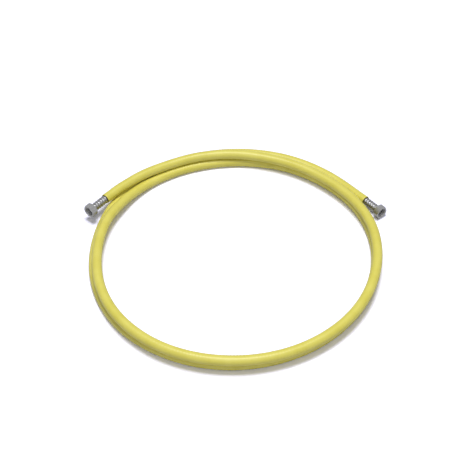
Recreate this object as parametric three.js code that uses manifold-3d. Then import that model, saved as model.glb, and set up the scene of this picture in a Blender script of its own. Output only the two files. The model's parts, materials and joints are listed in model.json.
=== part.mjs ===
// Flexible gas hose: a corrugated steel tube in a yellow plastic jacket, laid down in a coil of two and a
// third turns, with a collar and a free-turning union nut on each end.
// Millimetres, +Z up. The hose lies on z = 0 and the origin is under the middle of the whole coil.
import * as THREE from 'three';
import { mergeVertices } from 'three/addons/utils/BufferGeometryUtils.js';
import Module from 'manifold-3d';

const wasm = await Module();
wasm.setup();

// Clearance between pieces that are pressed or welded together on the real hose
const SEAT_GAP = 0.3;

// Jacket and the corrugated steel tube inside it
const JACKET_OD = 19.5;
const JACKET_WALL = 1;
const CORRUGATION_DEPTH = 1.7;
const CORRUGATION_PITCH = 5.8;
const TUBE_WALL = 0.4;
const BARE_LENGTH = 34.8;
const CUFF_LENGTH = 1.8;

// Union nut for a G 1/2 pipe thread, whose bore is the inner diameter of that thread
const NUT_ACROSS_FLATS = 24;
const NUT_LENGTH = 13;
const NUT_SHOULDER = 2.6;
const THREAD_BORE = 18.64;
const THREAD_OD = 20.96;
const NUT_CHAMFER_ANGLE = 30;
const NUT_RUNNING_GAP = 0.4;
const NUT_LEAN = 19;
const NUT_FLOOR_GAP = 0.3;

// Collar on the tube's end, whose flange the nut pulls on
const HUB_WALL = 0.9;
const FLANGE_THICKNESS = 2;

// Facets round each section, and steps along the hose
const JACKET_SIDES = 12;
const ROUND_SIDES = 24;
const RIDGE_SIDES = 16;
const ROUTE_STEPS = 80;
const SAMPLES_A_RIDGE = 4;

// The coil: its mean radius, its centre seen from above, and the gap between turns that touch
const COIL_R = 266.5;
const COIL_CENTRE_X = -3.2;
const COIL_CENTRE_Y = -13.1;
const TURN_GAP = 0.5;
const TURN_PITCH = JACKET_OD + TURN_GAP;

// The jacket's route from the left end to the right end: degrees clockwise from straight back, how far
// outside COIL_R, and how high above the floor turn, both in turn pitches. The right end has no height of
// its own, because its nut lies just clear of the floor.
const ROUTE = [
  [-62.5, 1.12, 0.95], [-59.5, 0.975, 0.95], [-56.5, 0.85, 0.975], [-50, 0.61, 0.99], [-46, 0.53, 0.99],
  [-40, 0.38, 0.99], [-30, 0.22, 0.92], [-15, 0.13, 0.95], [0, -0.03, 0.99], [12, -0.15, 0.98],
  [25, -0.15, 0.96], [45, -0.06, 0.95], [62, 0.16, 0.98], [76, 0.27, 1], [88, 0.21, 1], [104, 0.1, 0.99],
  [125, 0.03, 0.96], [150, -0.05, 0.94], [180, -0.05, 0.95], [210, 0.08, 0.98], [232, 0.03, 1],
  [247, -0.13, 0.99], [262, -0.33, 0.95], [275, -0.38, 0.9], [288, -0.36, 0.84], [299, -0.39, 0.62],
  [310, -0.26, 0.27], [320, -0.17, 0.06], [330, -0.16, 0], [345, -0.16, 0], [365, -0.05, 0], [382, 0.15, 0],
  [402, 0.28, 0], [420, 0.4, 0], [434, 0.36, 0], [452, 0.16, 0], [470, -0.08, 0], [490, -0.33, 0],
  [515, -0.41, 0], [540, -0.34, 0], [567, -0.17, 0], [590, 0.04, 0], [615, 0.03, 0], [632, 0.04, 0],
  [645, 0.17, 0], [659, 0.48, 0], [671, 0.74, 0], [685, 0.94, 0], [702, 1.13, 0], [725, 1.29, 0],
  [742, 1.38, 0], [760, 1.38, 0], [771, 1.41, 0.02], [777, 1.52, 0.06], [781.1, 1.69, null],
];

// Radii and lengths that follow from the sizes above
const tubeCrestR = JACKET_OD / 2 - JACKET_WALL - SEAT_GAP;
const tubeRootR = tubeCrestR - CORRUGATION_DEPTH;
const tubeBoreR = tubeRootR - TUBE_WALL;
const collarSocketR = tubeRootR + SEAT_GAP;
const hubR = collarSocketR + HUB_WALL;
const threadBoreR = THREAD_BORE / 2;
const flangeR = threadBoreR - SEAT_GAP;
const nutHoleR = hubR + NUT_RUNNING_GAP;
const nutCornerR = NUT_ACROSS_FLATS / 2 / Math.cos(Math.PI / 6);
const bareRidges = Math.round(BARE_LENGTH / CORRUGATION_PITCH);

// Distances along a fitting's axis, measured outwards from the end of the jacket
const hubStart = BARE_LENGTH;
const cuffEnd = BARE_LENGTH + CUFF_LENGTH;
const nutStart = hubStart - SEAT_GAP;
const nutShoulderEnd = nutStart + NUT_SHOULDER;
const nutEnd = nutStart + NUT_LENGTH;
const flangeStart = nutShoulderEnd + SEAT_GAP;
const collarFace = flangeStart + FLANGE_THICKNESS;

const radians = THREE.MathUtils.degToRad;
const nutAxisHeight = nutCornerR * Math.cos(radians(NUT_LEAN)) + NUT_FLOOR_GAP;

function routePointInPlan([degrees, outward]) {
  const r = COIL_R + outward * TURN_PITCH;
  return new THREE.Vector2(r * Math.sin(radians(degrees)), r * Math.cos(radians(degrees)));
}

function heightOf([, , layer]) {
  return JACKET_OD / 2 + layer * TURN_PITCH;
}

// The right end rises straight on to its nut, whose lowest corner, at its back, just clears the floor.
function rightEndHeight(end, before) {
  const run = routePointInPlan(end).distanceTo(routePointInPlan(before));
  return (nutAxisHeight * run + heightOf(before) * nutStart) / (run + nutStart);
}

function routeHeights() {
  const heights = ROUTE.map(heightOf);
  const last = ROUTE.length - 1;
  heights[last] = rightEndHeight(ROUTE[last], ROUTE[last - 1]);
  return heights;
}

// Slope at each point: that of the line through its two neighbours, or of the last stretch at an end.
function slopesOf(places, values) {
  return values.map((value, i) => {
    const low = Math.max(i - 1, 0);
    const high = Math.min(i + 1, values.length - 1);
    return (values[high] - values[low]) / (places[high] - places[low]);
  });
}

// The hose's centreline, with the radius and the height eased from point to point of the route, and never
// lower than the hose lies on the floor.
class HoseRoute extends THREE.Curve {
  constructor() {
    super();
    this.degrees = ROUTE.map(([degrees]) => degrees);
    this.radii = ROUTE.map(([, outward]) => COIL_R + outward * TURN_PITCH);
    this.heights = routeHeights();
    this.radiusSlopes = slopesOf(this.degrees, this.radii);
    this.heightSlopes = slopesOf(this.degrees, this.heights);
    this.arcLengthDivisions = 20 * ROUTE_STEPS;
  }

  eased(values, slopes, i, part) {
    const span = this.degrees[i + 1] - this.degrees[i];
    const keep = (1 + 2 * part) * (1 - part) ** 2;
    const leave = part * (1 - part) ** 2 * span;
    const arrive = part ** 2 * (part - 1) * span;
    return keep * values[i] + (1 - keep) * values[i + 1] + leave * slopes[i] + arrive * slopes[i + 1];
  }

  getPoint(t, target = new THREE.Vector3()) {
    const first = this.degrees[0];
    const last = this.degrees[this.degrees.length - 1];
    const angle = first + t * (last - first);
    const next = this.degrees.findIndex((degrees) => degrees > angle);
    const i = next < 0 ? this.degrees.length - 2 : Math.max(next - 1, 0);
    const part = (angle - this.degrees[i]) / (this.degrees[i + 1] - this.degrees[i]);
    const r = this.eased(this.radii, this.radiusSlopes, i, part);
    const z = Math.max(this.eased(this.heights, this.heightSlopes, i, part), JACKET_OD / 2);
    const x = COIL_CENTRE_X + r * Math.sin(radians(angle));
    const y = COIL_CENTRE_Y + r * Math.cos(radians(angle));
    return target.set(x, y, z);
  }
}

const route = new HoseRoute();

// Where a fitting sits: its Z runs outwards along the hose's end, its Y is as upright as that allows.
function fittingFrame(t, sign) {
  const outward = route.getTangentAt(t).multiplyScalar(sign);
  const side = new THREE.Vector3(0, 0, 1).cross(outward).normalize();
  const up = outward.clone().cross(side);
  const frame = new THREE.Matrix4().makeBasis(side, up, outward);
  return frame.setPosition(route.getPointAt(t));
}

const leftFrame = fittingFrame(0, -1);
const rightFrame = fittingFrame(1, 1);

function polygonPoints(radius, sides) {
  return Array.from({ length: sides }, (_, i) => {
    const angle = (2 * Math.PI * i) / sides;
    return new THREE.Vector2(radius * Math.cos(angle), radius * Math.sin(angle));
  });
}

function pipeAlongRoute(outerR, innerR) {
  const section = new THREE.Shape(polygonPoints(outerR, JACKET_SIDES));
  section.holes.push(new THREE.Path(polygonPoints(innerR, JACKET_SIDES)));
  return new THREE.ExtrudeGeometry(section, { steps: ROUTE_STEPS, extrudePath: route });
}

// A turned body about +Z. The profile is a list of [radius, distance along the axis], closed on itself.
function turned(profile, sides = ROUND_SIDES) {
  const points = [...profile, profile[0]].map(([r, along]) => new THREE.Vector2(r, along));
  return new THREE.LatheGeometry(points, sides).rotateX(Math.PI / 2);
}

function solidOf(geometry) {
  const bare = geometry.clone();
  bare.deleteAttribute('normal');
  bare.deleteAttribute('uv');
  const merged = mergeVertices(bare, 1e-4);
  const vertProperties = new Float32Array(merged.attributes.position.array);
  const triVerts = new Uint32Array(merged.index.array);
  return new wasm.Manifold(new wasm.Mesh({ numProp: 3, vertProperties, triVerts }));
}

function geometryOf(solid) {
  const mesh = solid.getMesh();
  const geometry = new THREE.BufferGeometry();
  geometry.setAttribute('position', new THREE.BufferAttribute(mesh.vertProperties, 3));
  geometry.setIndex(new THREE.BufferAttribute(mesh.triVerts, 1));
  return geometry;
}

function finished(solid) {
  const geometry = geometryOf(solid).toNonIndexed();
  geometry.computeVertexNormals();
  return geometry;
}

// Jacket: the extruded plastic cover, cut square at both ends.
function jacketGeometry() {
  return pipeAlongRoute(JACKET_OD / 2, JACKET_OD / 2 - JACKET_WALL);
}

// The bare end of the tube: whole ridges as far as the collar, then a plain cuff inside it. It starts inside
// the jacket, with its wall in the middle of the covered tube's wall.
function bareEndGeometry() {
  const outside = [[tubeRootR, -CORRUGATION_PITCH / 2]];
  const samples = bareRidges * SAMPLES_A_RIDGE;
  for (let i = 0; i <= samples; i += 1) {
    const along = (i / samples) * BARE_LENGTH;
    const wave = (1 - Math.cos((2 * Math.PI * i) / SAMPLES_A_RIDGE)) / 2;
    outside.push([tubeRootR + CORRUGATION_DEPTH * wave, along]);
  }
  outside.push([tubeRootR, cuffEnd]);
  const inside = outside.map(([r, along]) => [r - TUBE_WALL, along]).reverse();
  return turned([...outside, ...inside], RIDGE_SIDES);
}

// Corrugated tube: plain where the jacket hides it, ridged where it is bare.
function tubeGeometry() {
  const covered = solidOf(pipeAlongRoute(tubeCrestR, tubeRootR - TUBE_WALL / 2));
  const left = solidOf(bareEndGeometry().applyMatrix4(leftFrame));
  const right = solidOf(bareEndGeometry().applyMatrix4(rightFrame));
  return finished(covered.add(left).add(right));
}

// Collar: a hub that takes the tube's cuff in a socket, and a flange with a flat sealing face.
function collarGeometry() {
  return turned([
    [hubR, hubStart],
    [hubR, flangeStart],
    [flangeR, flangeStart],
    [flangeR, collarFace],
    [tubeBoreR, collarFace],
    [tubeBoreR, cuffEnd + SEAT_GAP],
    [collarSocketR, cuffEnd + SEAT_GAP],
    [collarSocketR, hubStart],
  ]);
}

function hexagonalBar() {
  const section = new THREE.Shape(polygonPoints(nutCornerR, 6));
  const bar = new THREE.ExtrudeGeometry(section, { depth: NUT_LENGTH, bevelEnabled: false });
  return solidOf(bar.translate(0, 0, nutStart));
}

// The turned envelope that cuts the hexagon's corners back at both faces.
function chamferEnvelope() {
  const faceR = NUT_ACROSS_FLATS / 2;
  const chamfer = (nutCornerR - faceR) * Math.tan(radians(NUT_CHAMFER_ANGLE));
  const roomy = nutCornerR / Math.cos(Math.PI / ROUND_SIDES);
  return solidOf(turned([
    [0, nutStart],
    [faceR, nutStart],
    [roomy, nutStart + chamfer],
    [roomy, nutEnd - chamfer],
    [faceR, nutEnd],
    [0, nutEnd],
  ]));
}

// The hole through the shoulder, the threaded bore and the chamfer at its mouth.
function nutBore() {
  const mouthR = THREAD_OD / 2;
  const mouthDepth = mouthR - threadBoreR;
  const past = 1;
  return solidOf(turned([
    [0, nutStart - past],
    [nutHoleR, nutStart - past],
    [nutHoleR, nutShoulderEnd],
    [threadBoreR, nutShoulderEnd],
    [threadBoreR, nutEnd - mouthDepth],
    [mouthR + past, nutEnd + past],
    [0, nutEnd + past],
  ]));
}

// Union nut: a chamfered hexagon that hangs on the collar's flange by its shoulder.
function nutGeometry(cornerAngle) {
  const nut = hexagonalBar().intersect(chamferEnvelope()).subtract(nutBore());
  return finished(nut).rotateZ(radians(cornerAngle));
}

function paint(color, roughness, metalness) {
  return new THREE.MeshStandardMaterial({ color, roughness, metalness });
}

const yellowPlastic = paint('#dfd56a', 0.4, 0);
const stainlessSteel = paint('#b9bbbd', 0.3, 1);
const turnedSteel = paint('#c4c5c6', 0.25, 1);
const platedNut = paint('#8f9193', 0.35, 1);

const hose = new THREE.Group();

function addPiece(name, geometry, material, frame) {
  const piece = new THREE.Mesh(geometry, material);
  piece.name = name;
  if (frame) piece.applyMatrix4(frame);
  hose.add(piece);
}

addPiece('jacket', jacketGeometry(), yellowPlastic);
addPiece('corrugated_tube', tubeGeometry(), stainlessSteel);
addPiece('end_collar_left', collarGeometry(), turnedSteel, leftFrame);
addPiece('end_collar_right', collarGeometry(), turnedSteel, rightFrame);
addPiece('union_nut_left', nutGeometry(90 - NUT_LEAN), platedNut, leftFrame);
addPiece('union_nut_right', nutGeometry(90 + NUT_LEAN), platedNut, rightFrame);

export default hose;
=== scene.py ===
# Flexible gas hose lying in a coil: yellow plastic jacket over a corrugated steel tube, with a collar and a
# free-turning union nut on each end. Metres, +Z up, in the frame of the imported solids.
import json
import math

import bpy
import numpy as np
from mathutils import Matrix, Vector


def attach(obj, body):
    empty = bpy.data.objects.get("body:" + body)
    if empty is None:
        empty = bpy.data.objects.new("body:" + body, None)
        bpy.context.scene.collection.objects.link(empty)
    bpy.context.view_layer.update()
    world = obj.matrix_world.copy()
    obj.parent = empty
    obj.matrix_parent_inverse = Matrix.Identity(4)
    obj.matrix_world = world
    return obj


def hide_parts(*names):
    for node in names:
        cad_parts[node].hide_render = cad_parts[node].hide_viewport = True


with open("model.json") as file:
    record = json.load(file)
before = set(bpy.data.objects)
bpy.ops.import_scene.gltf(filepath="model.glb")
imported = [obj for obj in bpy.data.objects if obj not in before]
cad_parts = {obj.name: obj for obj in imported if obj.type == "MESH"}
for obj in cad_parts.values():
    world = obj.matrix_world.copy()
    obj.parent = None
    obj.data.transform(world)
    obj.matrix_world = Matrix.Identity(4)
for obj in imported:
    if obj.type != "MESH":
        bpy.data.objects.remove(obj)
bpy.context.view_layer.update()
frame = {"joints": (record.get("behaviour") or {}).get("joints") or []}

MM = 0.001

# Jacket and tube, the same sizes as in the solids
JACKET_OD = 19.5 * MM
JACKET_WALL = 1 * MM
SEAT_GAP = 0.3 * MM
CORRUGATION_DEPTH = 1.7 * MM
CORRUGATION_PITCH = 5.8 * MM
TUBE_WALL = 0.4 * MM
BARE_LENGTH = 34.8 * MM
CUFF_LENGTH = 1.8 * MM

# Collar and union nut
HUB_WALL = 0.9 * MM
FLANGE_THICKNESS = 2 * MM
NUT_ACROSS_FLATS = 24 * MM
NUT_LENGTH = 13 * MM
NUT_SHOULDER = 2.6 * MM
NUT_CHAMFER_ANGLE = math.radians(30)
NUT_RUNNING_GAP = 0.4 * MM
NUT_LEAN = math.radians(19)
NUT_FLOOR_GAP = 0.3 * MM
THREAD_BORE = 18.64 * MM
THREAD_OD = 20.96 * MM
THREAD_PITCH = 1.814 * MM

# The tube's ridges show through the soft jacket as low ripples, and every cut or turned edge is just broken
RIPPLE_DEPTH = 0.22 * MM
BROKEN_EDGE = 0.15 * MM

# How far a cutting tool reaches past what it cuts, and the smallest gap between points that stay apart
TOOL_REACH = 1 * MM
MERGE_GAP = 0.002 * MM

tube_crest_r = JACKET_OD / 2 - JACKET_WALL - SEAT_GAP
tube_root_r = tube_crest_r - CORRUGATION_DEPTH
tube_bore_r = tube_root_r - TUBE_WALL
collar_socket_r = tube_root_r + SEAT_GAP
hub_r = collar_socket_r + HUB_WALL
thread_bore_r = THREAD_BORE / 2
thread_outer_r = THREAD_OD / 2
flange_r = thread_bore_r - SEAT_GAP
nut_hole_r = hub_r + NUT_RUNNING_GAP
nut_corner_r = NUT_ACROSS_FLATS / 2 / math.cos(math.pi / 6)
bare_ridge_count = round(BARE_LENGTH / CORRUGATION_PITCH)

# Distances along a fitting's axis, outwards from the end of the jacket
hub_start = BARE_LENGTH
cuff_end = hub_start + CUFF_LENGTH
nut_start = hub_start - SEAT_GAP
shoulder_end = nut_start + NUT_SHOULDER
nut_end = nut_start + NUT_LENGTH
flange_start = shoulder_end + SEAT_GAP
collar_face = flange_start + FLANGE_THICKNESS

# The coil and the jacket's route, the same points as in the solids: degrees clockwise from straight back,
# how far outside COIL_R, and how high above the floor turn, both in turn pitches
COIL_R = 266.5 * MM
COIL_CENTRE = Vector((-3.2 * MM, -13.1 * MM, 0))
TURN_PITCH = JACKET_OD + 0.5 * MM
ROUTE = [
    (-62.5, 1.12, 0.95), (-59.5, 0.975, 0.95), (-56.5, 0.85, 0.975), (-50, 0.61, 0.99), (-46, 0.53, 0.99),
    (-40, 0.38, 0.99), (-30, 0.22, 0.92), (-15, 0.13, 0.95), (0, -0.03, 0.99), (12, -0.15, 0.98),
    (25, -0.15, 0.96), (45, -0.06, 0.95), (62, 0.16, 0.98), (76, 0.27, 1), (88, 0.21, 1), (104, 0.1, 0.99),
    (125, 0.03, 0.96), (150, -0.05, 0.94), (180, -0.05, 0.95), (210, 0.08, 0.98), (232, 0.03, 1),
    (247, -0.13, 0.99), (262, -0.33, 0.95), (275, -0.38, 0.9), (288, -0.36, 0.84), (299, -0.39, 0.62),
    (310, -0.26, 0.27), (320, -0.17, 0.06), (330, -0.16, 0), (345, -0.16, 0), (365, -0.05, 0),
    (382, 0.15, 0), (402, 0.28, 0), (420, 0.4, 0), (434, 0.36, 0), (452, 0.16, 0), (470, -0.08, 0),
    (490, -0.33, 0), (515, -0.41, 0), (540, -0.34, 0), (567, -0.17, 0), (590, 0.04, 0), (615, 0.03, 0),
    (632, 0.04, 0), (645, 0.17, 0), (659, 0.48, 0), (671, 0.74, 0), (685, 0.94, 0), (702, 1.13, 0),
    (725, 1.29, 0), (742, 1.38, 0), (760, 1.38, 0), (771, 1.41, 0.02), (777, 1.52, 0.06), (781.1, 1.69, None),
]


# Camera

CAMERA_AIM = COIL_CENTRE + Vector((1.2, 45.8, 16.25)) * MM
CAMERA_ELEVATION = math.radians(46)
CAMERA_DISTANCE = 1.95


def make_camera():
    """The photograph looks down at 46 degrees from about 2 m away, at a point behind the coil's middle."""
    camera = bpy.data.objects.new("camera", bpy.data.cameras.new("camera"))
    bpy.context.collection.objects.link(camera)
    back = Vector((0, -math.cos(CAMERA_ELEVATION), math.sin(CAMERA_ELEVATION)))
    camera.location = CAMERA_AIM + CAMERA_DISTANCE * back
    camera.rotation_euler = (math.pi / 2 - CAMERA_ELEVATION, 0, 0)
    camera.data.lens = 77.2
    camera.data.sensor_width = 36
    camera.data.clip_end = 20
    bpy.context.scene.camera = camera


# Route

def plan_radius(outward):
    return COIL_R + outward * TURN_PITCH


def plan_point(degrees, outward):
    angle = math.radians(degrees)
    return Vector((math.sin(angle), math.cos(angle))) * plan_radius(outward)


def height_of(layer):
    return JACKET_OD / 2 + layer * TURN_PITCH


def right_end_height(end, before):
    """The right end rises straight on to its nut, whose lowest corner, at its back, just clears the floor."""
    run = (plan_point(*end[:2]) - plan_point(*before[:2])).length
    nut_axis_height = nut_corner_r * math.cos(NUT_LEAN) + NUT_FLOOR_GAP
    return (nut_axis_height * run + height_of(before[2]) * nut_start) / (run + nut_start)


def eased(places, values, at):
    """Values at the places between, with the slope at each point that of the line through its neighbours."""
    slopes = np.empty_like(values)
    slopes[1:-1] = (values[2:] - values[:-2]) / (places[2:] - places[:-2])
    slopes[0] = (values[1] - values[0]) / (places[1] - places[0])
    slopes[-1] = (values[-1] - values[-2]) / (places[-1] - places[-2])
    i = np.clip(np.searchsorted(places, at, side="right") - 1, 0, len(places) - 2)
    span = places[i + 1] - places[i]
    part = (at - places[i]) / span
    keep = (1 + 2 * part) * (1 - part) ** 2
    leave = part * (1 - part) ** 2 * span * slopes[i]
    arrive = part ** 2 * (part - 1) * span * slopes[i + 1]
    return keep * values[i] + (1 - keep) * values[i + 1] + leave + arrive


def hose_line():
    """The jacket's centreline as closely spaced points, with the distance along it at each."""
    degrees = np.array([point[0] for point in ROUTE], float)
    radii = np.array([plan_radius(point[1]) for point in ROUTE])
    heights = [height_of(point[2]) for point in ROUTE[:-1]]
    heights = np.array([*heights, right_end_height(ROUTE[-1], ROUTE[-2])])
    at = np.linspace(degrees[0], degrees[-1], 8000)
    r = eased(degrees, radii, at)
    x = COIL_CENTRE.x + r * np.sin(np.radians(at))
    y = COIL_CENTRE.y + r * np.cos(np.radians(at))
    z = np.maximum(eased(degrees, heights, at), JACKET_OD / 2)
    points = np.stack([x, y, z], axis=1)
    steps = np.linalg.norm(np.diff(points, axis=0), axis=1)
    return points, np.concatenate([[0], np.cumsum(steps)])


def line_at(line, stations):
    """Points and directions at distances along the hose. Past its ends the line runs on straight."""
    points, along = line
    inside = np.clip(stations, 0, along[-1])
    at = np.stack([np.interp(inside, along, points[:, k]) for k in range(3)], axis=1)
    step = 1 * MM
    low = np.clip(inside - step, 0, along[-1] - step)
    high = np.clip(inside + step, step, along[-1])
    before = np.stack([np.interp(low, along, points[:, k]) for k in range(3)], axis=1)
    after = np.stack([np.interp(high, along, points[:, k]) for k in range(3)], axis=1)
    ahead = after - before
    ahead /= np.linalg.norm(ahead, axis=1)[:, None]
    return at + ahead * (stations - inside)[:, None], ahead


def pipe(name, line, outside, inside, sides):
    """One closed pipe along the hose. outside and inside are lists of (distance along the hose, radius)."""
    profile = np.array(list(outside) + list(inside)[::-1])
    at, ahead = line_at(line, profile[:, 0])
    across = np.cross(np.array([0, 0, 1.0]), ahead)
    across /= np.linalg.norm(across, axis=1)[:, None]
    up = np.cross(ahead, across)
    turn = 2 * np.pi * np.arange(sides) / sides
    ring = np.cos(turn)[None, :, None] * across[:, None, :] + np.sin(turn)[None, :, None] * up[:, None, :]
    points = at[:, None, :] + profile[:, 1, None, None] * ring
    row = np.arange(len(profile))[:, None] * sides
    next_row = np.roll(row, -1, axis=0)
    column = np.arange(sides)[None, :]
    next_column = np.roll(column, -1, axis=1)
    faces = np.stack([row + column, row + next_column, next_row + next_column, next_row + column], axis=-1)
    mesh = bpy.data.meshes.new(name)
    mesh.from_pydata(points.reshape(-1, 3).tolist(), [], faces.reshape(-1, 4).tolist())
    add_hose_map(mesh, profile[:, 0], sides)
    piece = bpy.data.objects.new(name, mesh)
    bpy.context.collection.objects.link(piece)
    smooth(piece, 40)
    return piece


def add_hose_map(mesh, stations, sides):
    """UV in metres: U is the way round at the jacket's surface, V the distance along the hose."""
    rows = len(stations)
    girth = math.pi * JACKET_OD
    u = np.arange(sides + 1) / sides * girth
    uv = np.empty((rows, sides, 4, 2))
    uv[:, :, 0, 0] = uv[:, :, 3, 0] = u[None, :-1]
    uv[:, :, 1, 0] = uv[:, :, 2, 0] = u[None, 1:]
    uv[:, :, 0, 1] = uv[:, :, 1, 1] = stations[:, None]
    uv[:, :, 2, 1] = uv[:, :, 3, 1] = np.roll(stations, -1)[:, None]
    layer = mesh.uv_layers.new(name="hose_map")
    layer.data.foreach_set("uv", uv.ravel())


# Modelling helpers

def select_only(piece):
    bpy.ops.object.select_all(action="DESELECT")
    piece.select_set(True)
    bpy.context.view_layer.objects.active = piece


def smooth(piece, degrees):
    select_only(piece)
    bpy.ops.object.shade_smooth_by_angle(angle=math.radians(degrees))


def apply_modifier(piece, kind, **settings):
    select_only(piece)
    modifier = piece.modifiers.new(kind.lower(), kind)
    for key, value in settings.items():
        setattr(modifier, key, value)
    bpy.ops.object.modifier_apply(modifier=modifier.name)


def cut(piece, tool, operation):
    apply_modifier(piece, "BOOLEAN", object=tool, operation=operation, solver="EXACT")
    bpy.data.objects.remove(tool)


def outline_in_xz(name, points, closed):
    """A bare line of points, (radius, distance along the axis), to be spun round Z."""
    mesh = bpy.data.meshes.new(name)
    edges = [(i, i + 1) for i in range(len(points) - 1)]
    if closed:
        edges.append((len(points) - 1, 0))
    mesh.from_pydata([(r, 0, along) for r, along in points], edges, [])
    piece = bpy.data.objects.new(name, mesh)
    bpy.context.collection.objects.link(piece)
    return piece


def turned(name, points, closed=True, steps=96):
    """A turned body: the outline is spun round Z and its seam and poles are closed."""
    piece = outline_in_xz(name, points, closed)
    select_only(piece)
    bpy.ops.object.mode_set(mode="EDIT")
    bpy.ops.mesh.select_all(action="SELECT")
    bpy.ops.mesh.spin(steps=steps, angle=2 * math.pi, center=(0, 0, 0), axis=(0, 0, 1))
    bpy.ops.mesh.select_all(action="SELECT")
    bpy.ops.mesh.remove_doubles(threshold=MERGE_GAP)
    bpy.ops.mesh.normals_make_consistent(inside=False)
    bpy.ops.object.mode_set(mode="OBJECT")
    return piece


def place(piece, matrix):
    piece.data.transform(matrix)
    piece.data.update()


# Fittings

def fitting_frame(side):
    """Z runs outwards along the nut's joint axis, Y is as upright as that allows, from the jacket's end."""
    joint = next(j for j in frame["joints"] if j["name"] == side + "_nut_swivel")
    outward = Vector(joint["axis"]).normalized()
    across = Vector((0, 0, 1)).cross(outward).normalized()
    up = outward.cross(across)
    end = Vector(joint["pos_m"]) - outward * shoulder_end
    turn = Matrix((across, up, outward)).transposed().to_4x4()
    return Matrix.Translation(end) @ turn


def chamfer_envelope():
    """The turned shape that cuts the hexagon's corners back at 30 degrees at both faces."""
    face_r = NUT_ACROSS_FLATS / 2 - BROKEN_EDGE
    depth = (nut_corner_r - face_r) * math.tan(NUT_CHAMFER_ANGLE)
    rise = TOOL_REACH * math.tan(NUT_CHAMFER_ANGLE)
    return turned("envelope", [
        (0, nut_start),
        (face_r, nut_start),
        (nut_corner_r + TOOL_REACH, nut_start + depth + rise),
        (nut_corner_r + TOOL_REACH, nut_end - depth - rise),
        (face_r, nut_end),
        (0, nut_end),
    ], closed=False)


def nut_hole():
    """The hole in the nut's shoulder, the undercut round the collar's flange, and the hole for the tap."""
    undercut_r = thread_outer_r + 0.1 * MM
    undercut_end = collar_face + 0.6 * MM
    drilled_r = thread_bore_r - 0.4 * MM
    lead_in = 0.3 * MM
    return turned("hole", [
        (0, nut_start - TOOL_REACH),
        (nut_hole_r + TOOL_REACH, nut_start - TOOL_REACH),
        (nut_hole_r, nut_start + lead_in),
        (nut_hole_r, shoulder_end),
        (undercut_r, shoulder_end),
        (undercut_r, undercut_end),
        (drilled_r, undercut_end),
        (drilled_r, nut_end + TOOL_REACH),
        (0, nut_end + TOOL_REACH),
    ], closed=False)


def mouth_cone():
    """The lead-in chamfer at the nut's mouth."""
    mouth_r = thread_outer_r + BROKEN_EDGE
    depth = mouth_r - thread_bore_r + 0.3 * MM
    return turned("mouth", [
        (0, nut_end - depth),
        (mouth_r - depth, nut_end - depth),
        (mouth_r + TOOL_REACH, nut_end + TOOL_REACH),
        (0, nut_end + TOOL_REACH),
    ], closed=False)


def thread_tap():
    """The female thread as a solid: a rounded groove on a helix, from the undercut out past the mouth."""
    depth = thread_outer_r - thread_bore_r
    points = []
    samples = 8
    for i in range(samples + 1):
        part = i / samples
        wave = (1 - math.cos(2 * math.pi * part)) / 2
        points.append((thread_bore_r + depth * wave, part * THREAD_PITCH))
    tap = outline_in_xz("tap", points, closed=False)
    turns = math.ceil(NUT_LENGTH / THREAD_PITCH) + 2
    place(tap, Matrix.Translation((0, 0, shoulder_end - 2 * THREAD_PITCH)))
    apply_modifier(
        tap, "SCREW", axis="Z", angle=2 * math.pi, steps=96, render_steps=96,
        screw_offset=THREAD_PITCH, iterations=turns, use_merge_vertices=True,
    )
    select_only(tap)
    bpy.ops.object.mode_set(mode="EDIT")
    bpy.ops.mesh.select_all(action="SELECT")
    bpy.ops.mesh.remove_doubles(threshold=MERGE_GAP)
    trim(collar_face, keep_above=True)
    trim(nut_end + TOOL_REACH, keep_above=False)
    bpy.ops.mesh.select_all(action="SELECT")
    bpy.ops.mesh.normals_make_consistent(inside=False)
    bpy.ops.object.mode_set(mode="OBJECT")
    return tap


def trim(height, keep_above):
    """Cuts the mesh in edit mode with a level plane and closes the cut."""
    bpy.ops.mesh.select_all(action="SELECT")
    bpy.ops.mesh.bisect(
        plane_co=(0, 0, height), plane_no=(0, 0, 1), use_fill=True,
        clear_inner=keep_above, clear_outer=not keep_above,
    )


def break_upright_edges(nut):
    """Takes the sharpness off the hexagon's six corners."""
    select_only(nut)
    for edge in nut.data.edges:
        a, b = (nut.data.vertices[i].co for i in edge.vertices)
        edge.select = abs(a.z - b.z) > NUT_LENGTH / 2
    bpy.ops.object.mode_set(mode="EDIT")
    bpy.ops.mesh.select_mode(type="EDGE")
    bpy.ops.mesh.bevel(offset=0.25 * MM, segments=3)
    bpy.ops.object.mode_set(mode="OBJECT")


def make_nut(side, lean):
    """Machined hexagon nut: chamfered at both faces, edges just broken, threaded inside."""
    select_none()
    bpy.ops.mesh.primitive_cylinder_add(
        vertices=6, radius=nut_corner_r, depth=NUT_LENGTH, location=(0, 0, nut_start + NUT_LENGTH / 2),
    )
    nut = bpy.context.object
    nut.name = "union_nut_" + side + "_machined"
    bpy.ops.object.transform_apply(location=True, rotation=True, scale=True)
    break_upright_edges(nut)
    cut(nut, chamfer_envelope(), "INTERSECT")
    cut(nut, nut_hole(), "DIFFERENCE")
    cut(nut, thread_tap(), "DIFFERENCE")
    cut(nut, mouth_cone(), "DIFFERENCE")
    place(nut, fitting_frame(side) @ Matrix.Rotation(lean, 4, "Z"))
    smooth(nut, 30)
    return nut


def select_none():
    bpy.ops.object.select_all(action="DESELECT")
    bpy.context.view_layer.objects.active = None


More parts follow.
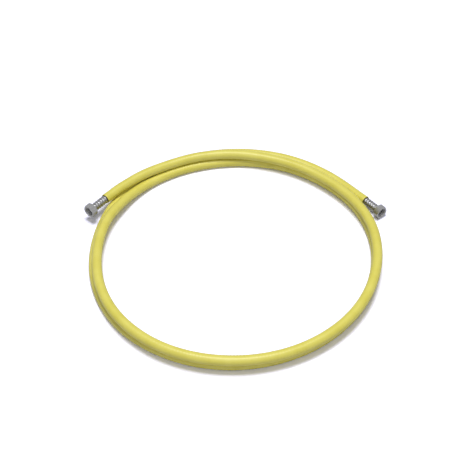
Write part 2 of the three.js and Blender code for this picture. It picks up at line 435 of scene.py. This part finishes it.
def make_collar(side):
    """Turned collar: a hub over the tube's cuff, and a flange with a flat sealing face, edges broken."""
    edge = BROKEN_EDGE
    collar = turned("end_collar_" + side + "_turned", [
        (hub_r - edge, hub_start),
        (hub_r, hub_start + edge),
        (hub_r, flange_start - 0.05 * MM),
        (hub_r + 0.05 * MM, flange_start),
        (flange_r - edge, flange_start),
        (flange_r, flange_start + edge),
        (flange_r, collar_face - edge),
        (flange_r - edge, collar_face),
        (tube_bore_r + 2 * edge, collar_face),
        (tube_bore_r, collar_face - 2 * edge),
        (tube_bore_r, cuff_end + SEAT_GAP),
        (collar_socket_r, cuff_end + SEAT_GAP),
        (collar_socket_r, hub_start),
    ])
    place(collar, fitting_frame(side))
    smooth(collar, 25)
    return collar


# Jacket and tube, with fewer steps along the hose where they are out of sight

HIDDEN_STEPS = 300


def make_jacket(line):
    """Extruded cover, cut square, with the tube's ridges telegraphed through as low ripples."""
    length = line[1][-1]
    samples = 5
    ripples = round(length / CORRUGATION_PITCH)
    outer_r = JACKET_OD / 2
    end_r = outer_r - RIPPLE_DEPTH - BROKEN_EDGE
    outside = [(0, end_r)]
    for i in range(1, ripples * samples):
        part = i / samples
        wave = (1 - math.cos(2 * math.pi * part)) / 2
        outside.append((part / ripples * length, outer_r - RIPPLE_DEPTH * (1 - wave)))
    outside.append((length, end_r))
    inner_r = outer_r - JACKET_WALL
    inside = [(station, inner_r) for station in np.linspace(0, length, HIDDEN_STEPS)]
    return pipe("jacket_extruded", line, outside, inside, sides=24)


def bare_ridges(samples=12):
    """One bare end of the tube, outwards from the jacket: (distance, radius) over its ridges to the cuff."""
    rows = []
    for i in range(bare_ridge_count * samples + 1):
        part = i / samples
        wave = (1 - math.cos(2 * math.pi * part)) / 2
        rounded = wave ** 0.7
        rows.append((part / bare_ridge_count * BARE_LENGTH, tube_root_r + CORRUGATION_DEPTH * rounded))
    rows.append((cuff_end, tube_root_r))
    return rows


def make_tube(line):
    """Corrugated tube in one piece: ridged where it is bare, plain where the jacket hides it."""
    length = line[1][-1]
    ridges = bare_ridges()
    covered_start = 3 * MM
    left = [(-out, r) for out, r in reversed(ridges)]
    right = [(length + out, r) for out, r in ridges]
    covered = np.linspace(covered_start, length - covered_start, HIDDEN_STEPS)
    outside = left + [(station, tube_root_r + CORRUGATION_DEPTH / 2) for station in covered] + right
    inside = [(station, r - TUBE_WALL) for station, r in outside]
    return pipe("corrugated_tube_formed", line, outside, inside, sides=48)


# Materials

# Sizes of the patterns. Tool marks and grain are drawn coarser than the real ones, so that they show.
DRAW_LINE_GAP = 0.715 * MM
DRAW_LINE_LENGTH = 83 * MM
CLOUD_SIZE = 28.5 * MM
FORMED_LINE_GAP = 0.286 * MM
FORMED_LINE_LENGTH = 16.7 * MM
TOOL_RING_GAP = 0.35 * MM
GRAIN_SIZE = 1.11 * MM


def linear(hex_colour):
    """sRGB hex to linear RGBA."""
    values = [int(hex_colour[i:i + 2], 16) / 255 for i in (1, 3, 5)]
    return [v / 12.92 if v <= 0.04045 else ((v + 0.055) / 1.055) ** 2.4 for v in values] + [1]


def new_material(name):
    material = bpy.data.materials.new(name)
    material.use_nodes = True
    tree = material.node_tree
    return material, tree, tree.nodes["Principled BSDF"]


def add_node(tree, kind, links=(), inputs=(), **settings):
    """Adds a node with its settings, fixed inputs and links. Each link is (from socket, input)."""
    node = tree.nodes.new(kind)
    for key, value in settings.items():
        setattr(node, key, value)
    for key, value in dict(inputs).items():
        node.inputs[key].default_value = value
    for source, key in links:
        tree.links.new(source, node.inputs[key])
    return node


def yellow_jacket_plastic():
    """Soft extruded PVC: satin gloss, cloudy in tone, with faint lines drawn along it by the die."""
    material, tree, shader = new_material("extruded_yellow_pvc")
    place_on_hose = add_node(tree, "ShaderNodeUVMap", uv_map="hose_map")
    stretched = add_node(
        tree, "ShaderNodeMapping", [(place_on_hose.outputs["UV"], "Vector")],
        {"Scale": (1 / DRAW_LINE_GAP, 1 / DRAW_LINE_LENGTH, 1)},
    )
    draw_lines = add_node(
        tree, "ShaderNodeTexNoise", [(stretched.outputs["Vector"], "Vector")], {"Scale": 1.0, "Detail": 3},
    )
    where = add_node(tree, "ShaderNodeTexCoord")
    clouds = add_node(
        tree, "ShaderNodeTexNoise", [(where.outputs["Object"], "Vector")],
        {"Scale": 1 / CLOUD_SIZE, "Detail": 4},
    )
    tones = add_node(tree, "ShaderNodeValToRGB", [(clouds.outputs["Fac"], "Fac")])
    tones.color_ramp.elements[0].position = 0.3
    tones.color_ramp.elements[0].color = linear("#dfd55b")
    tones.color_ramp.elements[1].position = 0.7
    tones.color_ramp.elements[1].color = linear("#e8df6d")
    tree.links.new(tones.outputs["Color"], shader.inputs["Base Color"])
    gloss = add_node(
        tree, "ShaderNodeMapRange", [(draw_lines.outputs["Fac"], "Value")],
        {"From Min": 0.3, "From Max": 0.7, "To Min": 0.36, "To Max": 0.46},
    )
    tree.links.new(gloss.outputs["Result"], shader.inputs["Roughness"])
    relief = add_node(
        tree, "ShaderNodeBump", [(draw_lines.outputs["Fac"], "Height")],
        {"Strength": 0.25, "Distance": 0.03 * MM},
    )
    tree.links.new(relief.outputs["Normal"], shader.inputs["Normal"])
    shader.inputs["IOR"].default_value = 1.53
    return material


def formed_stainless_steel():
    """Thin stainless strip formed into ridges: bright, with fine lines that run round the tube."""
    material, tree, shader = new_material("formed_stainless_steel")
    place_on_hose = add_node(tree, "ShaderNodeUVMap", uv_map="hose_map")
    stretched = add_node(
        tree, "ShaderNodeMapping", [(place_on_hose.outputs["UV"], "Vector")],
        {"Scale": (1 / FORMED_LINE_LENGTH, 1 / FORMED_LINE_GAP, 1)},
    )
    lines = add_node(
        tree, "ShaderNodeTexNoise", [(stretched.outputs["Vector"], "Vector")], {"Scale": 1.0, "Detail": 3},
    )
    gloss = add_node(
        tree, "ShaderNodeMapRange", [(lines.outputs["Fac"], "Value")],
        {"From Min": 0.3, "From Max": 0.7, "To Min": 0.28, "To Max": 0.4},
    )
    tree.links.new(gloss.outputs["Result"], shader.inputs["Roughness"])
    relief = add_node(
        tree, "ShaderNodeBump", [(lines.outputs["Fac"], "Height")], {"Strength": 0.2, "Distance": 0.02 * MM},
    )
    tree.links.new(relief.outputs["Normal"], shader.inputs["Normal"])
    tones = add_node(tree, "ShaderNodeValToRGB", [(lines.outputs["Fac"], "Fac")])
    tones.color_ramp.elements[0].color = linear("#949496")
    tones.color_ramp.elements[1].color = linear("#b0b0b2")
    tree.links.new(tones.outputs["Color"], shader.inputs["Base Color"])
    shader.inputs["Metallic"].default_value = 1
    return material


def turned_steel(name, light, dark, smoothest, roughest, side):
    """Machined steel: rings left by the tool round the fitting's axis, which break up its gloss."""
    material, tree, shader = new_material(name)
    where = add_node(tree, "ShaderNodeTexCoord")
    to_axis = fitting_frame(side).inverted()
    centred = add_node(
        tree, "ShaderNodeMapping", [(where.outputs["Object"], "Vector")],
        {"Location": to_axis.to_translation(), "Rotation": to_axis.to_euler()},
    )
    rings = add_node(
        tree, "ShaderNodeTexWave", [(centred.outputs["Vector"], "Vector")],
        {"Scale": math.pi / (10 * TOOL_RING_GAP), "Distortion": 1.5, "Detail": 2},
        wave_type="RINGS", rings_direction="Z",
    )
    grain = add_node(
        tree, "ShaderNodeTexNoise", [(centred.outputs["Vector"], "Vector")],
        {"Scale": 1 / GRAIN_SIZE, "Detail": 4},
    )
    mixed = add_node(
        tree, "ShaderNodeMath", [(rings.outputs["Fac"], 0), (grain.outputs["Fac"], 1)], operation="MULTIPLY",
    )
    gloss = add_node(
        tree, "ShaderNodeMapRange", [(mixed.outputs["Value"], "Value")],
        {"From Min": 0.0, "From Max": 0.6, "To Min": smoothest, "To Max": roughest},
    )
    tree.links.new(gloss.outputs["Result"], shader.inputs["Roughness"])
    tones = add_node(tree, "ShaderNodeValToRGB", [(grain.outputs["Fac"], "Fac")])
    tones.color_ramp.elements[0].position = 0.3
    tones.color_ramp.elements[0].color = linear(dark)
    tones.color_ramp.elements[1].position = 0.7
    tones.color_ramp.elements[1].color = linear(light)
    tree.links.new(tones.outputs["Color"], shader.inputs["Base Color"])
    relief = add_node(
        tree, "ShaderNodeBump", [(mixed.outputs["Value"], "Height")],
        {"Strength": 0.15, "Distance": 0.01 * MM},
    )
    tree.links.new(relief.outputs["Normal"], shader.inputs["Normal"])
    shader.inputs["Metallic"].default_value = 1
    return material


def dress(piece, material):
    piece.data.materials.clear()
    piece.data.materials.append(material)


# Setting

# The card's own colour, how it looks overexposed, and the distances over which it turns plain white
CARD_WHITE = "#dcdce0"
CARD_OVEREXPOSED = (1.24, 1.24, 1.5, 1)
CARD_SIZE = 12
CARD_SINK = 0.1 * MM
LAMPS_REACH = 0.6
ALL_WHITE = 1.6

# How strongly the room lights the hose, and how bright it is where the metal or the gloss mirrors it
ROOM_LIGHT = 0.15
ROOM_MIRRORED = 0.65


def white_floor():
    """White card, overexposed as in the photograph, so only the darkest part of the shadow shows grey."""
    select_none()
    bpy.ops.mesh.primitive_plane_add(size=CARD_SIZE, location=(0, 0, -CARD_SINK))
    floor = bpy.context.object
    floor.name = "floor"
    material, tree, shader = new_material("white_card")
    tree.nodes.remove(shader)
    rays = add_node(tree, "ShaderNodeLightPath")
    card = add_node(tree, "ShaderNodeBsdfDiffuse", inputs={"Color": linear(CARD_WHITE)})
    overexposed = add_node(tree, "ShaderNodeBsdfDiffuse", inputs={"Color": CARD_OVEREXPOSED})
    where = add_node(tree, "ShaderNodeTexCoord")
    outwards = add_node(tree, "ShaderNodeVectorMath", [(where.outputs["Object"], 0)], operation="LENGTH")
    beyond_lamps = add_node(
        tree, "ShaderNodeMapRange", [(outwards.outputs["Value"], "Value")],
        {"From Min": LAMPS_REACH, "From Max": ALL_WHITE, "To Min": 0, "To Max": 1},
    )
    far_white = add_node(tree, "ShaderNodeEmission", [(beyond_lamps.outputs["Result"], "Strength")])
    to_camera = add_node(
        tree, "ShaderNodeAddShader", [(overexposed.outputs["BSDF"], 0), (far_white.outputs["Emission"], 1)],
    )
    seen = add_node(
        tree, "ShaderNodeMixShader",
        [(rays.outputs["Is Camera Ray"], 0), (card.outputs["BSDF"], 1), (to_camera.outputs["Shader"], 2)],
    )
    output = tree.nodes["Material Output"]
    tree.links.new(seen.outputs["Shader"], output.inputs["Surface"])
    floor.data.materials.append(material)


def studio_world():
    """A dim grey room: white to the camera, and lighter in the metal than the light that it gives."""
    world = bpy.data.worlds.new("studio")
    bpy.context.scene.world = world
    world.use_nodes = True
    tree = world.node_tree
    backdrop = tree.nodes["Background"]
    backdrop.inputs["Color"].default_value = (1, 1, 1, 1)
    rays = add_node(tree, "ShaderNodeLightPath")
    mirrored = add_node(
        tree, "ShaderNodeMapRange", [(rays.outputs["Is Glossy Ray"], "Value")],
        {"To Min": ROOM_LIGHT, "To Max": ROOM_MIRRORED},
    )
    strength = add_node(
        tree, "ShaderNodeMath", [(mirrored.outputs["Result"], 0), (rays.outputs["Is Camera Ray"], 1)],
        operation="MAXIMUM",
    )
    tree.links.new(strength.outputs["Value"], backdrop.inputs["Strength"])


def soft_box(name, location, size, watts):
    """A square lamp that faces the coil."""
    lamp = bpy.data.lights.new(name, "AREA")
    lamp.shape = "SQUARE"
    lamp.size = size
    lamp.energy = watts
    holder = bpy.data.objects.new(name, lamp)
    holder.location = location
    holder.rotation_euler = (COIL_CENTRE - Vector(location)).to_track_quat("-Z", "Y").to_euler()
    bpy.context.collection.objects.link(holder)


def light_the_hose():
    """A high lamp straight above, for the narrow shadow under the hose, and a weak one beside the camera."""
    soft_box("overhead", (0, 0, 4.0), 1.3, 118)
    soft_box("front", (0.1, -1.7, 2.0), 0.7, 9)


make_camera()
line = hose_line()
jacket = make_jacket(line)
tube = make_tube(line)
collars = {side: make_collar(side) for side in ("left", "right")}
nuts = {side: make_nut(side, lean) for side, lean in (("left", -NUT_LEAN), ("right", NUT_LEAN))}

dress(jacket, yellow_jacket_plastic())
dress(tube, formed_stainless_steel())
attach(jacket, "hose")
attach(tube, "hose")
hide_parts("jacket")
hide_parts("corrugated_tube")
for side in ("left", "right"):
    bright = turned_steel("turned_steel_" + side, "#d2d2d2", "#b8b8b8", 0.2, 0.32, side)
    dull = turned_steel("nickel_plated_steel_" + side, "#bebebf", "#a8a8aa", 0.26, 0.42, side)
    dress(collars[side], bright)
    dress(nuts[side], dull)
    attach(collars[side], "hose")
    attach(nuts[side], side + "_nut")
    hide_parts("end_collar_" + side)
    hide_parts("union_nut_" + side)

path_step = 15 * MM
route_stations = np.arange(0, line[1][-1], path_step).tolist() + [line[1][-1]]
route_points, _ = line_at(line, np.array(route_stations))

white_floor()
studio_world()
light_the_hose()
bpy.context.scene.view_settings.view_transform = "Standard"
